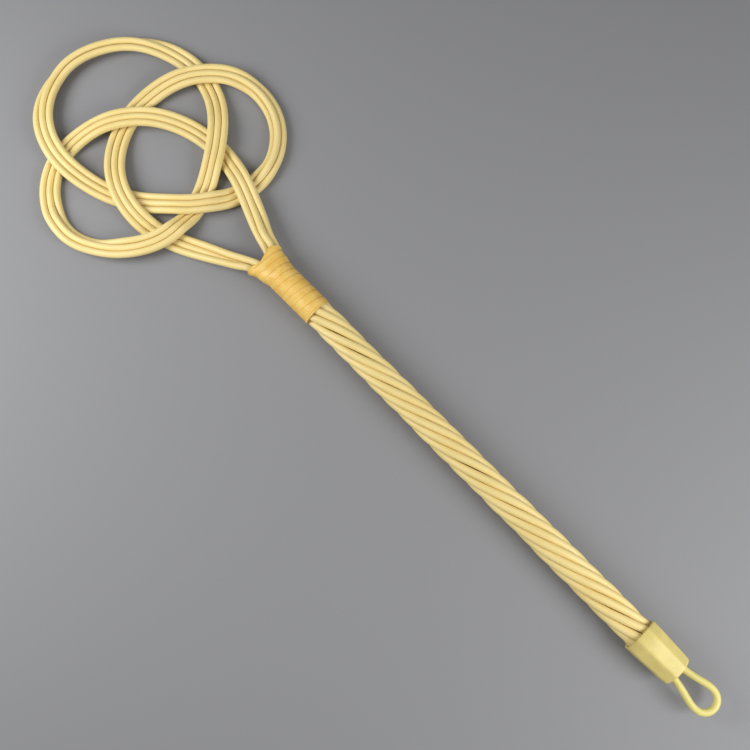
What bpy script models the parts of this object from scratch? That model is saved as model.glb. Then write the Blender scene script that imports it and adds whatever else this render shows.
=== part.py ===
"""Carpet beater lying flat, with the looped head on the left (-X) and the hanging loop on the right (+X).

Three rods lie side by side in the head, weave over and under themselves, come together in the
neck and run down the handle as six of its eight strands. Two short rods are the other strands.
A core rod fills the middle of the handle, a wound tape binds the neck, a moulded cap closes the
handle, and a rod bent to a teardrop comes out of it as the hanging loop. Each long rod is drawn
in simpler stretches that meet out of sight: under a crossing or inside the binding.
All sizes are in metres.
"""
import math

import bmesh
import bpy
import numpy as np
from mathutils import Matrix

# Rods and fits
head_rod_diameter = 0.0054
strand_diameter = 0.0058
loop_rod_diameter = 0.0054
touch_clearance = 0.0003

# Head, from just inside the binding to the far loop, and from the handle's axis to a side loop
head_length = 0.248
head_half_width = 0.100
head_start_in_binding = 0.003
crossing_hold_margin = 0.0015
weave_clearance = 0.0008

# Handle, from the binding's end to the cap's mouth
handle_length = 0.3482
handle_diameter_at_neck = 0.0236
handle_diameter_at_cap = 0.0246
strand_count = 8
strand_lead = 0.148
strand_points_per_turn = 14
twist_ease_length = 0.040

# Neck and binding
neck_length = 0.026
neck_rod_pitch = 0.0061
binding_length = 0.0685
tape_width = 0.0066
tape_thickness = 0.0006
tape_gap = 0.0005
tape_points_per_turn = 24
tape_start = 0.0035
core_set_back = 0.002

# End cap
cap_length = 0.038
cap_land_length = 0.008
cap_mouth_flats = 0.0284
cap_end_flats = 0.0250
cap_end_wall = 0.004
cap_edge_round = 0.0007
cap_sides = 8
strand_depth_in_cap = 0.015

# Hanging loop, outside the cap
hanging_loop_length = 0.0394
hanging_loop_width = 0.0254
loop_leg_spacing = 0.0096
loop_leg_depth_in_cap = 0.022
loop_hole_clearance = 0.0003
loop_throat_clearance = 0.0018

# Values that follow from the sizes
rod_radius = head_rod_diameter / 2
strand_radius = strand_diameter / 2
loop_radius = loop_rod_diameter / 2
rod_pitch = head_rod_diameter + touch_clearance
axis_height = cap_mouth_flats / 2
head_low = rod_radius
head_high = head_low + head_rod_diameter + weave_clearance

binding_end = binding_length
cap_mouth = binding_end + handle_length
cap_end = cap_mouth + cap_length
strand_end = cap_mouth + strand_depth_in_cap
ring_start = neck_length

# Where the eight strands stand round the handle at the neck, from +Y towards +Z: the first
# place as a share of a turn, then every strand as a share of the even spacing
first_strand_share = 0.299
strand_place_shares = {
    "short_upper": -0.06, "left_inner": 0.905, "left_outer": 1.87, "left_middle": 2.98,
    "short_lower": 4.03, "right_inner": 4.995, "right_outer": 6.0, "right_middle": 6.96,
}

# Where the flat bundle crosses itself: share of head_length from the binding, share of
# head_half_width to the side
crossing_shares = {
    "right_leg_on_right_loop": (0.230, 0.315),
    "right_leg_on_upright": (0.410, 0.400),
    "arch_on_ring": (0.700, 0.030),
    "arch_on_far_loop": (0.760, -0.610),
    "left_loop_on_left_leg": (0.290, -0.435),
    "left_loop_on_base": (0.305, -0.080),
    "far_loop_on_right_loop": (0.640, 0.755),
    "base_on_ring": (0.495, -0.460),
}

# The bundle's centre from the right leg to the left leg. A crossing is named with the level at
# which it is passed; every other point is a pair of shares.
head_path_shares = [
    (0.015, 0.105), (0.065, 0.150),
    ("right_leg_on_right_loop", "over"), (0.325, 0.380),
    ("right_leg_on_upright", "under"), (0.565, 0.310),
    ("arch_on_ring", "over"), (0.765, -0.355),
    ("arch_on_far_loop", "under"),
    (0.670, -0.903), (0.517, -1.003), (0.381, -0.817),
    ("left_loop_on_left_leg", "over"),
    ("left_loop_on_base", "under"),
    ("right_leg_on_upright", "over"), (0.506, 0.628),
    ("far_loop_on_right_loop", "under"),
    (0.800, 0.695), (0.930, 0.436), (0.994, -0.015), (0.919, -0.437),
    ("arch_on_far_loop", "over"), (0.615, -0.580),
    ("base_on_ring", "under"), (0.390, -0.275),
    ("left_loop_on_base", "over"),
    ("right_leg_on_right_loop", "under"),
    (0.235, 0.614), (0.345, 0.932), (0.520, 0.974),
    ("far_loop_on_right_loop", "over"), (0.703, 0.425),
    ("arch_on_ring", "under"), (0.605, -0.316),
    ("base_on_ring", "over"), (0.395, -0.490),
    ("left_loop_on_left_leg", "under"),
    (0.160, -0.300), (0.070, -0.200), (0.015, -0.125),
]

# Each head rod's stretches along the path, and the crossings under which one hands over to the next
stretch_names = ["arch", "left_loop", "far_loop", "right_loop"]
stretch_joints = ["arch_on_far_loop", "far_loop_on_right_loop", "right_leg_on_right_loop"]

# How a side rod rolls round the middle rod along the path, as rows of (share of the path, share
# of a right angle): 0 beside the middle rod, 1 right below it, less than 0 above its side
roll_shares = {
    "outer": [(0.0, 0.50), (0.038, 0.0), (0.424, 0.0), (0.470, 0.84), (0.496, 0.84), (0.556, 0.0),
              (0.696, 0.0), (0.716, 0.37), (0.765, 0.37), (0.788, 0.0), (0.950, 0.0), (0.996, -0.56)],
    "inner": [(0.0, 0.42), (0.030, 0.0), (0.206, 0.0), (0.230, 0.62), (0.252, 0.62), (0.276, 0.0),
              (0.696, 0.0), (0.716, 0.50), (0.765, 0.50), (0.788, 0.0), (0.950, 0.0), (0.996, -0.56)],
}

# How far a side rod stands off the bundle, as rows of (share of the path, share of the rod pitch)
spread_shares = {
    "outer": [(0.0, 0.0), (0.012, 0.04), (0.030, 0.0), (0.365, 0.0), (0.400, 0.06), (0.424, 0.0),
              (0.840, 0.0), (0.870, 0.04), (0.900, 0.0)],
    "inner": [(0.0, 0.0), (0.190, 0.0), (0.206, 0.03), (0.235, 0.03), (0.262, 0.06), (0.284, 0.0),
              (0.424, 0.0), (0.466, 0.15), (0.500, 0.15), (0.550, 0.0),
              (0.740, 0.0), (0.780, 0.03), (0.840, 0.03), (0.870, 0.06), (0.900, 0.0)],
}

# Cross-sections of the six head rods in the neck, as shares of neck_rod_pitch from the axis
# (to the side, up), at the binding's edge and half way to the round handle
neck_edge_shares = {
    "right_inner": (1.04, -0.10), "right_middle": (1.96, 0.37), "right_outer": (2.55, -0.38),
    "left_inner": (-1.42, 0.30), "left_middle": (-1.98, -0.50), "left_outer": (-2.55, 0.28),
}
neck_half_way_shares = {
    "right_inner": (0.56, -0.82), "right_middle": (1.08, 0.75), "right_outer": (1.74, -0.03),
    "left_inner": (-0.92, 0.82), "left_middle": (-0.95, -0.82), "left_outer": (-1.80, 0.04),
}

neck_half_way_share = 0.54

# The tape's inner outline along the neck: share of neck_length, then half width, half height and
# middle's place to the side as shares of the handle's radius, and how square the outline is
tape_outline_shares = [
    (0.0, 1.58, 0.63, -0.02, 3.0), (0.54, 1.20, 0.73, -0.01, 2.4), (1.0, 1.02, 1.02, 0.0, 2.0),
]

# Teardrop of the hanging loop: share of its length past the cap, share of its half width
teardrop_shares = [(0.10, 0.54), (0.35, 0.725), (0.60, 0.965), (0.74, 1.0), (0.865, 0.87), (0.96, 0.53)]

# How finely the bent rods are drawn, and where the head's curve hands over to the neck's
bend_per_point = math.radians(11)
longest_step = 0.014
fine_step = 0.0003
bend_parts = 3
head_end_share = 0.006


def smooth_step(value):
    """Ease from 0 to 1 with level ends."""
    value = min(max(value, 0.0), 1.0)
    return value * value * (3 - 2 * value)


def natural_spline(points, stations):
    """Coordinates, at the given stations, of the smoothest curve through points at their chord lengths."""
    points = np.asarray(points, float)
    chord = np.linalg.norm(np.diff(points, axis=0), axis=1)
    knots = np.concatenate([[0.0], np.cumsum(chord)])
    count = len(points)
    matrix = np.zeros((count, count))
    right = np.zeros(points.shape)
    matrix[0, 0] = matrix[-1, -1] = 1.0
    for i in range(1, count - 1):
        matrix[i, i - 1] = chord[i - 1]
        matrix[i, i] = 2 * (chord[i - 1] + chord[i])
        matrix[i, i + 1] = chord[i]
        right[i] = 6 * ((points[i + 1] - points[i]) / chord[i] - (points[i] - points[i - 1]) / chord[i - 1])
    bend = np.linalg.solve(matrix, right)
    if stations is None:
        return knots
    stations = np.asarray(stations, float)
    piece = np.clip(np.searchsorted(knots, stations) - 1, 0, count - 2)
    step = chord[piece][:, None]
    before = (knots[piece + 1] - stations)[:, None]
    after = (stations - knots[piece])[:, None]
    return (bend[piece] * before ** 3 / (6 * step) + bend[piece + 1] * after ** 3 / (6 * step)
            + (points[piece] / step - bend[piece] * step / 6) * before
            + (points[piece + 1] / step - bend[piece + 1] * step / 6) * after)


def eased_table(table, place):
    """Read a table of (place, value...) rows, easing with level ends from one row to the next."""
    if place <= table[0][0]:
        return table[0][1:]
    for low, high in zip(table, table[1:]):
        if place <= high[0]:
            blend = smooth_step((place - low[0]) / (high[0] - low[0]))
            return tuple(a + (b - a) * blend for a, b in zip(low[1:], high[1:]))
    return table[-1][1:]


def strand_ring_radius(x):
    """Distance from the handle's axis to a strand's centre."""
    blend = min(max((x - ring_start) / (strand_end - ring_start), 0.0), 1.0)
    diameter = handle_diameter_at_neck + (handle_diameter_at_cap - handle_diameter_at_neck) * blend
    return diameter / 2 - strand_radius


def strand_turns(x):
    """Turns of the lay from the neck to x, starting gently."""
    run = max(x - ring_start, 0.0)
    if run < twist_ease_length:
        return run * run / (2 * twist_ease_length) / strand_lead
    return (run - twist_ease_length / 2) / strand_lead


def strand_angle(name, x):
    """Angle of a strand round the handle's axis at x."""
    place = first_strand_share + strand_place_shares[name] / strand_count
    return 2 * math.pi * (place - strand_turns(x))


def strand_point(name, x):
    """Centre of a strand at x."""
    angle = strand_angle(name, x)
    radius = strand_ring_radius(x)
    return (x, radius * math.cos(angle), axis_height + radius * math.sin(angle))


def strand_points(name, start, end):
    """A strand's centre line from start to end, evenly stepped along the handle."""
    step = strand_lead / strand_points_per_turn
    count = max(round(abs(end - start) / step), 1)
    return [strand_point(name, start + (end - start) * i / count) for i in range(count + 1)]


def head_plan_points():
    """The bundle's chosen points in plan, and which of them are crossings."""
    points = []
    passes = []
    for index, (first, second) in enumerate(head_path_shares):
        if isinstance(first, str):
            passes.append((index, first, second))
            first, second = crossing_shares[first]
        points.append((head_start_in_binding - first * head_length, second * head_half_width))
    return points, passes


def plan_direction(points, station):
    """Unit direction of the plan curve at a station."""
    pair = natural_spline(points, [station - fine_step, station + fine_step])
    step = pair[1] - pair[0]
    return step / np.linalg.norm(step)


def crossing_rows(points, passes, stations):
    """Rows of (station, shift per length to the left, half the level stretch, height) along the path."""
    directions = {}
    for index, name, level in passes:
        directions.setdefault(name, []).append(plan_direction(points, stations[index]))
    leg_heights = [axis_height + neck_edge_shares[name][1] * neck_rod_pitch
                   for name in ("right_middle", "left_middle")]
    rows = [(stations[0], 0.0, 0.0, leg_heights[0])]
    met = set()
    for index, name, level in passes:
        first, second = directions[name]
        own, other = (second, first) if name in met else (first, second)
        met.add(name)
        sine = float(own[0] * other[1] - own[1] * other[0])
        shift = float(np.dot(own, other)) / sine
        hold = rod_pitch / abs(sine) + crossing_hold_margin
        rows.append((stations[index], shift, hold, head_high if level == "over" else head_low))
    rows.append((stations[-1], 0.0, 0.0, leg_heights[1]))
    return rows


def weave_height(rows, station, side):
    """Height of the weave at a station, for a rod that lies to the left of the path by side."""
    table = []
    for place, shift, hold, height in rows:
        table += [(place + side * shift - hold, height), (place + side * shift + hold, height)]
    return eased_table(table, station)[0]


def side_rod_place(side, share):
    """A side rod's place beside the middle rod: how far to its own side, how far down, and its roll."""
    roll = eased_table(roll_shares[side], share)[0]
    spread = eased_table(spread_shares[side], share)[0]
    angle = math.pi / 2 * roll
    return rod_pitch * (math.cos(angle) + spread), rod_pitch * math.sin(angle), roll


def head_section(rows, share, station):
    """Each rod's place across the bundle at a station: how far to the left, and how high."""
    places = {which: side_rod_place(which, share) for which in ("outer", "inner")}
    middle_side = (places["outer"][0] - places["inner"][0]) / 2
    level = weave_height(rows, station, middle_side)
    middle_height = max(level, head_low + max(drop for away, drop, roll in places.values()))
    section = {"middle": (middle_side, middle_height)}
    for which, turn in (("outer", -1.0), ("inner", 1.0)):
        away, drop, roll = places[which]
        side = middle_side + turn * away
        ahead = (weave_height(rows, station, side) - level) * (1 - abs(roll))
        section[which] = (side, middle_height + ahead - drop)
    return section


def bend_angles(line):
    """How much a line turns at each of its inner points."""
    step = np.diff(line, axis=0)
    unit = step / np.linalg.norm(step, axis=1)[:, None]
    return np.arccos(np.clip(np.sum(unit[1:] * unit[:-1], axis=1), -1.0, 1.0))


def head_stations(points, rows, length):
    """Stations along the path, closer together where a rod bends, as shares of its length."""
    places = np.linspace(0.0, length, int(length / fine_step))
    plan = natural_spline(points, places)
    sections = [head_section(rows, place / length, place) for place in places]
    heights = {which: [section[which][1] for section in sections] for which in sections[0]}
    turns = [bend_angles(np.column_stack([plan, height])) for height in heights.values()]
    chosen = [head_end_share * length]
    bend = 0.0
    for place, angle in zip(places[1:-1], np.max(turns, axis=0)):
        if place <= chosen[0]:
            continue
        bend += angle
        if bend > bend_per_point or place - chosen[-1] > longest_step:
            chosen.append(place)
            bend = 0.0
    last = length * (1 - head_end_share)
    chosen = [place for place in chosen if place < last - longest_step / 3] + [last]
    return [place / length for place in chosen]


def head_rod_points():
    """Centre lines of the three rods through the head, and the spans at which their stretches meet."""
    points, passes = head_plan_points()
    stations = natural_spline(points, None)
    length = float(stations[-1])
    rows = crossing_rows(points, passes, stations)
    rods = {"outer": [], "middle": [], "inner": []}
    shares = head_stations(points, rows, length)
    hidden = [stations[index] / length for index, name, level in passes
              if level == "under" and name in stretch_joints]
    joints = [sum(share <= place for share in shares) - 1 for place in hidden]
    for share in shares:
        station = share * length
        plan = natural_spline(points, [station])[0]
        direction = plan_direction(points, station)
        left = np.array([-direction[1], direction[0]])
        for which, (side, height) in head_section(rows, share, station).items():
            place = plan + left * side
            rods[which].append((place[0], place[1], height))
    return rods, joints


def neck_points(name):
    """A head rod's two chosen places in the neck, from the binding's edge towards the handle."""
    points = []
    for share, table in ((0.0, neck_edge_shares), (neck_half_way_share, neck_half_way_shares)):
        side, up = table[name]
        points.append((share * neck_length, side * neck_rod_pitch, axis_height + up * neck_rod_pitch))
    return points


def refined(knots, parts):
    """Stations at every knot, with the span after each knot cut into its number of equal parts."""
    stations = []
    for start, end, count in zip(knots, knots[1:], parts):
        stations += [start + (end - start) * k / count for k in range(count)]
    return stations + [knots[-1]]


def smooth_line(line, in_bend, joints):
    """A line through all the points, finer in its bends, and the fine line's spans that hold the joints."""
    parts = [bend_parts if in_bend(i) else 1 for i in range(len(line) - 1)]
    smooth = natural_spline(line, refined(natural_spline(line, None), parts))
    return smooth, [sum(parts[:joint]) for joint in joints]


def rod_centre_line(which, head_points, head_joints):
    """One head rod's whole centre line, cap to cap, with its joints."""
    right_strand = strand_points("right_" + which, strand_end, ring_start)
    right = right_strand + neck_points("right_" + which)[::-1]
    left = neck_points("left_" + which) + strand_points("left_" + which, ring_start, strand_end)
    enter = len(right) - 1
    leave = enter + len(head_points)
    in_neck = [enter - 2, enter - 1, enter, leave, leave + 1, leave + 2]
    joints = [len(right_strand) - 2] + [len(right) + joint for joint in head_joints] + [leave + 3]
    return smooth_line(right + head_points + left, lambda i: i in in_neck, joints)


def hanging_loop_centre_line():
    """The hanging loop's rod, from one end inside the cap round the loop to the other end."""
    half_width = (hanging_loop_width - loop_rod_diameter) / 2
    length = hanging_loop_length - loop_radius
    leg = [(x, loop_leg_spacing / 2, axis_height) for x in (cap_end - loop_leg_depth_in_cap, cap_end)]
    bow = [(cap_end + along * length, across * half_width, axis_height) for along, across in teardrop_shares]
    tip = [(cap_end + length, 0.0, axis_height)]
    back = [(x, -y, z) for x, y, z in (leg + bow)[::-1]]
    return smooth_line(leg + bow + tip + back, lambda i: 1 <= i <= 2 * len(bow) + 2, [])[0]


def split_line(line, joints):
    """The stretches of a line between the middles of the given spans, with the touch clearance between ends."""
    stretches = []
    begin = []
    first = 0
    for joint in joints:
        middle = (line[joint] + line[joint + 1]) / 2
        along = line[joint + 1] - line[joint]
        half_gap = along / np.linalg.norm(along) * touch_clearance / 2
        stretches.append(begin + list(line[first:joint + 1]) + [middle - half_gap])
        begin = [middle + half_gap]
        first = joint + 1
    stretches.append(begin + list(line[first:]))
    return stretches


def tape_outline_point(x, angle, outward):
    """A point of the tape's outline round the neck at x, moved outward from the inner face."""
    half_width, half_height, middle, square = eased_table(tape_outline_shares, x / neck_length)
    radius = handle_diameter_at_neck / 2
    cosine, sine = math.cos(angle), math.sin(angle)
    side = (half_width * radius + outward) * math.copysign(abs(cosine) ** (2 / square), cosine) + middle * radius
    up = (half_height * radius + outward) * math.copysign(abs(sine) ** (2 / square), sine)
    return (x, side, axis_height + up)


def tape_edges():
    """The tape's two edges, as points round its turns."""
    pitch = tape_width + tape_gap
    turns = (binding_length - tape_start - tape_width) / pitch
    count = int(turns * tape_points_per_turn)
    edges = []
    for i in range(count + 1):
        angle = -math.pi / 2 - 2 * math.pi * i / tape_points_per_turn
        start = tape_start + pitch * i / tape_points_per_turn
        edges.append((tape_outline_point(start, angle, 0.0), tape_outline_point(start + tape_width, angle, 0.0)))
    return edges


def smallest_tape_gap(edges):
    """Least distance between one turn's edge and the next turn's edge."""
    gaps = []
    for (start, end), (next_start, next_end) in zip(edges, edges[tape_points_per_turn:]):
        gaps.append(math.dist(end, next_start))
    return min(gaps)


def make_material(name, colour, roughness):
    """A plastic or wood surface in one colour."""
    material = bpy.data.materials.new(name)
    material.use_nodes = True
    shader = material.node_tree.nodes["Principled BSDF"]
    shader.inputs["Base Color"].default_value = (*colour, 1.0)
    shader.inputs["Roughness"].default_value = roughness
    shader.inputs["Metallic"].default_value = 0.0
    return material


def add_object(name, data, collection, material=None):
    """Link a new object for the given mesh or curve."""
    item = bpy.data.objects.new(name, data)
    collection.objects.link(item)
    if material:
        data.materials.append(material)
    return item


def make_rod(name, line, radius, collection, material):
    """A round rod along a centre line, with closed ends."""
    curve = bpy.data.curves.new(name, "CURVE")
    curve.dimensions = "3D"
    curve.bevel_depth = radius
    curve.bevel_resolution = 2
    curve.use_fill_caps = True
    spline = curve.splines.new("POLY")
    spline.points.add(len(line) - 1)
    for point, place in zip(spline.points, line):
        point.co = (*place, 1.0)
    return add_object(name, curve, collection, material)


def make_long_rod(which, line, joints, collection, material):
    """A head rod with its two handle strands, as stretches that meet end to end."""
    right, *head, left = split_line(line, joints)
    rods = [make_rod("handle_strand_right_" + which, right, strand_radius, collection, material)]
    for stretch, part in zip(stretch_names, head, strict=True):
        rods.append(make_rod("head_rod_" + which + "_" + stretch, part, rod_radius, collection, material))
    return rods + [make_rod("handle_strand_left_" + which, left, strand_radius, collection, material)]


def make_core(collection, material):
    """The core rod, which fills the space inside the strands."""
    dip = strand_ring_radius(strand_end) * (1 - math.cos(math.pi / strand_points_per_turn))
    start = ring_start + core_set_back
    radii = [strand_ring_radius(x) - strand_radius - touch_clearance - dip for x in (start, strand_end)]
    mesh = bpy.data.meshes.new("handle_core_rod")
    body = bmesh.new()
    bmesh.ops.create_cone(body, cap_ends=True, segments=2 * strand_count, radius1=radii[0], radius2=radii[1],
                          depth=strand_end - start)
    body.to_mesh(mesh)
    body.free()
    core = add_object("handle_core_rod", mesh, collection, material)
    core.location = ((start + strand_end) / 2, 0.0, axis_height)
    core.rotation_euler = (0.0, math.pi / 2, 0.0)
    mesh.shade_smooth()
    mesh.set_sharp_from_angle(angle=math.radians(40))
    return core


def make_tape(collection, material):
    """The tape, one unbroken strip wound round the neck."""
    edges = tape_edges()
    print("least gap between turns of the tape, mm:", round(smallest_tape_gap(edges) * 1000, 3))
    mesh = bpy.data.meshes.new("binding_tape")
    body = bmesh.new()
    first = [body.verts.new(place) for place in edges[0]]
    edge = body.edges.new(first)
    for start, end in edges[1:]:
        grown = bmesh.ops.extrude_edge_only(body, edges=[edge])["geom"]
        verts = [item for item in grown if isinstance(item, bmesh.types.BMVert)]
        edge = [item for item in grown if isinstance(item, bmesh.types.BMEdge) and set(item.verts) == set(verts)][0]
        verts.sort(key=lambda vert: vert.co.x)
        verts[0].co = start
        verts[1].co = end
    bmesh.ops.recalc_face_normals(body, faces=body.faces)
    body.to_mesh(mesh)
    body.free()
    tape = add_object("binding_tape", mesh, collection, material)
    wall = tape.modifiers.new("thickness", "SOLIDIFY")
    wall.thickness = tape_thickness
    wall.offset = 1.0
    return tape


def grow_sections(name, sides, sections):
    """A closed body with a regular outline that changes size along +Z: rows of (station, radius)."""
    mesh = bpy.data.meshes.new(name)
    body = bmesh.new()
    height, radius = sections[0]
    bmesh.ops.create_circle(body, cap_ends=False, segments=sides, radius=radius)
    bmesh.ops.rotate(body, verts=body.verts, matrix=Matrix.Rotation(math.pi / sides, 3, "Z"))
    bmesh.ops.translate(body, verts=body.verts, vec=(0.0, 0.0, height))
    rim = body.edges[:]
    for station, new_radius in sections[1:]:
        grown = bmesh.ops.extrude_edge_only(body, edges=rim)["geom"]
        verts = [item for item in grown if isinstance(item, bmesh.types.BMVert)]
        rim = [item for item in grown if isinstance(item, bmesh.types.BMEdge) and len(item.link_faces) == 1]
        bmesh.ops.scale(body, verts=verts, vec=(new_radius / radius, new_radius / radius, 1.0))
        bmesh.ops.translate(body, verts=verts, vec=(0.0, 0.0, station - height))
        height, radius = station, new_radius
    bmesh.ops.holes_fill(body, edges=body.edges, sides=sides)
    bmesh.ops.recalc_face_normals(body, faces=body.faces)
    body.to_mesh(mesh)
    body.free()
    return mesh


def place_on_axis(item, side=0.0):
    """Lay a body's own +Z along the handle, starting at the cap's mouth."""
    item.location = (cap_mouth, side, axis_height)
    item.rotation_euler = (0.0, math.pi / 2, 0.0)


def make_cutter(name, sections, side, collection):
    """A round cutter along the handle's axis or beside it."""
    cutter = add_object(name, grow_sections(name, 3 * strand_count, sections), collection)
    place_on_axis(cutter, side)
    cutter.hide_render = True
    cutter.display_type = "WIRE"
    return cutter


def make_cap(collection, cutters, material):
    """The eight-sided moulded cap: straight at the mouth, then drawn in towards the end."""
    corner = 1 / math.cos(math.pi / cap_sides) / 2
    outside = [(0.0, cap_mouth_flats * corner), (cap_land_length, cap_mouth_flats * corner),
               (cap_length, cap_end_flats * corner)]
    cap = add_object("end_cap", grow_sections("end_cap", cap_sides, outside), collection, material)
    place_on_axis(cap)
    rounding = cap.modifiers.new("rounded_edges", "BEVEL")
    rounding.width = cap_edge_round
    rounding.segments = 2
    rounding.limit_method = "ANGLE"
    rounding.angle_limit = math.radians(30)
    bore = handle_diameter_at_cap / 2 + touch_clearance
    wall_start = cap_length - cap_end_wall
    throat = loop_leg_spacing / 2 + loop_radius + loop_throat_clearance
    hole = loop_radius + loop_hole_clearance
    bore_sections = [(-cap_land_length, bore), (strand_depth_in_cap + touch_clearance, bore), (wall_start, throat)]
    hole_sections = [(wall_start - cap_end_wall, hole), (cap_length + cap_end_wall, hole)]
    tools = [
        make_cutter("cut_bore", bore_sections, 0.0, cutters),
        make_cutter("cut_hole_right", hole_sections, loop_leg_spacing / 2, cutters),
        make_cutter("cut_hole_left", hole_sections, -loop_leg_spacing / 2, cutters),
    ]
    for tool in tools:
        cut = cap.modifiers.new(tool.name, "BOOLEAN")
        cut.operation = "DIFFERENCE"
        cut.solver = "EXACT"
        cut.object = tool
    return cap


def centre_on_origin(items, lines):
    """Move every piece so that the middle of the whole object's box stands on the origin."""
    points = np.concatenate(lines)
    low = points.min(axis=0) - rod_radius
    high = points.max(axis=0) + rod_radius
    for item in items:
        item.location.x -= (low[0] + high[0]) / 2
        item.location.y -= (low[1] + high[1]) / 2


def main():
    for item in list(bpy.data.objects):
        bpy.data.objects.remove(item, do_unlink=True)
    beater = bpy.data.collections.new("carpet_beater")
    cutters = bpy.data.collections.new("cutters")
    for collection in (beater, cutters):
        bpy.context.scene.collection.children.link(collection)

    plastic = make_material("cream_plastic", (0.84, 0.70, 0.36), 0.45)
    loop_plastic = make_material("pale_yellow_plastic", (0.82, 0.74, 0.33), 0.45)
    tape_material = make_material("orange_tape", (0.85, 0.55, 0.16), 0.5)
    cap_material = make_material("greenish_plastic", (0.80, 0.74, 0.33), 0.4)
    wood = make_material("brown_wood", (0.30, 0.17, 0.07), 0.7)

    head, head_joints = head_rod_points()
    lines = []
    items = []
    for which in ("outer", "middle", "inner"):
        line, joints = rod_centre_line(which, head[which], head_joints)
        lines.append(line)
        items += make_long_rod(which, line, joints, beater, plastic)
    for short in ("short_lower", "short_upper"):
        line = strand_points(short, ring_start + core_set_back, strand_end)
        items.append(make_rod("handle_strand_" + short, line, strand_radius, beater, plastic))
    lines.append(hanging_loop_centre_line())
    items.append(make_rod("hanging_loop", lines[-1], loop_radius, beater, loop_plastic))
    items.append(make_core(beater, wood))
    items.append(make_tape(beater, tape_material))
    items.append(make_cap(beater, cutters, cap_material))
    items += list(cutters.objects)
    centre_on_origin(items, lines)


main()
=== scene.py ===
"""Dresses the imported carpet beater: woven rods, wound tape, moulded cap, hanging loop and a studio.

The whole head is one flat bundle of three rods that crosses itself, and the same rods run down the
handle. Their centre lines follow the same named sizes as the CAD model. All lengths are in metres.
"""
import math

import bmesh
import bpy
import numpy as np
from mathutils import Matrix, Vector, kdtree, noise


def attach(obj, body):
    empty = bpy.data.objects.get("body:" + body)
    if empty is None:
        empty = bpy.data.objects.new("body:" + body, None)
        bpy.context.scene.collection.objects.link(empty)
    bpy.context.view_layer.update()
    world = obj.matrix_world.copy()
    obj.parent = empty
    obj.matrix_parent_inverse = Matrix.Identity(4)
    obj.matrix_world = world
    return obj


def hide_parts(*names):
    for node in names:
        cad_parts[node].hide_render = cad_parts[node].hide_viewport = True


bl_info = {
    "name": "Carpet Beater Dressing",
    "version": (1, 0, 0),
    "blender": (4, 5, 0),
    "location": "View3D > Sidebar > Beater",
    "description": "Builds the rods, tape, cap, loop and studio of a woven carpet beater on its CAD frame",
    "category": "Object",
}

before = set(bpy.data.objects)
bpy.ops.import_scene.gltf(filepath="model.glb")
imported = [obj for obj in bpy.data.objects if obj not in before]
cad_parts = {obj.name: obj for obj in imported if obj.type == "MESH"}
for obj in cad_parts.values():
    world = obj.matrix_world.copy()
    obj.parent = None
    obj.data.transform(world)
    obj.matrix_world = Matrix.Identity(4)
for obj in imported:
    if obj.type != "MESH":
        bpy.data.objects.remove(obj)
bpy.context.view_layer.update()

# Rods and fits. The dressed rods are a little thicker than the CAD model's, so that they touch.
# A strand's radius in the handle is a share of the ring that the strands lie on.
head_rod_diameter = 0.0059
loop_rod_diameter = 0.0056
strand_size_share = 0.361
rod_pitch = 0.0057

# Head, from just inside the binding to the far loop, and from the handle's axis to a side loop
head_length = 0.248
head_half_width = 0.100
head_start_in_binding = 0.003
crossing_hold_margin = 0.0015
weave_clearance = 0.0008

# Handle, from the binding's end to the cap's mouth
handle_length = 0.3482
handle_diameter_at_neck = 0.0236
handle_diameter_at_cap = 0.0246
strand_count = 8
strand_lead = 0.148
strand_points_per_turn = 14
twist_ease_length = 0.040

# Neck and binding
neck_length = 0.026
neck_rod_pitch = 0.0061
binding_length = 0.0685
tape_start = 0.0035
core_set_back = 0.002

# End cap
cap_length = 0.038
cap_land_length = 0.008
cap_mouth_flats = 0.0284
cap_end_flats = 0.0250
strand_depth_in_cap = 0.015
cap_sides = 8

# Hanging loop, outside the cap
hanging_loop_length = 0.0394
hanging_loop_width = 0.0254
loop_leg_spacing = 0.0096
loop_leg_depth_in_cap = 0.022

# Values that follow from the sizes
rod_radius = head_rod_diameter / 2
loop_radius = loop_rod_diameter / 2
axis_height = cap_mouth_flats / 2
head_low = rod_radius
head_high = head_low + rod_pitch + weave_clearance

binding_end = binding_length
cap_mouth = binding_end + handle_length
cap_end = cap_mouth + cap_length
strand_end = cap_mouth + strand_depth_in_cap
ring_start = neck_length

# Where the eight strands stand round the handle at the neck, from +Y towards +Z: the first
# place as a share of a turn, then every strand as a share of the even spacing
first_strand_share = 0.299
strand_place_shares = {
    "short_upper": -0.06, "left_inner": 0.905, "left_outer": 1.87, "left_middle": 2.98,
    "short_lower": 4.03, "right_inner": 4.995, "right_outer": 6.0, "right_middle": 6.96,
}

# Where the flat bundle crosses itself: share of head_length from the binding, share of
# head_half_width to the side
crossing_shares = {
    "right_leg_on_right_loop": (0.230, 0.315),
    "right_leg_on_upright": (0.410, 0.400),
    "arch_on_ring": (0.700, 0.030),
    "arch_on_far_loop": (0.760, -0.610),
    "left_loop_on_left_leg": (0.290, -0.435),
    "left_loop_on_base": (0.305, -0.080),
    "far_loop_on_right_loop": (0.640, 0.755),
    "base_on_ring": (0.495, -0.460),
}

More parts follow.
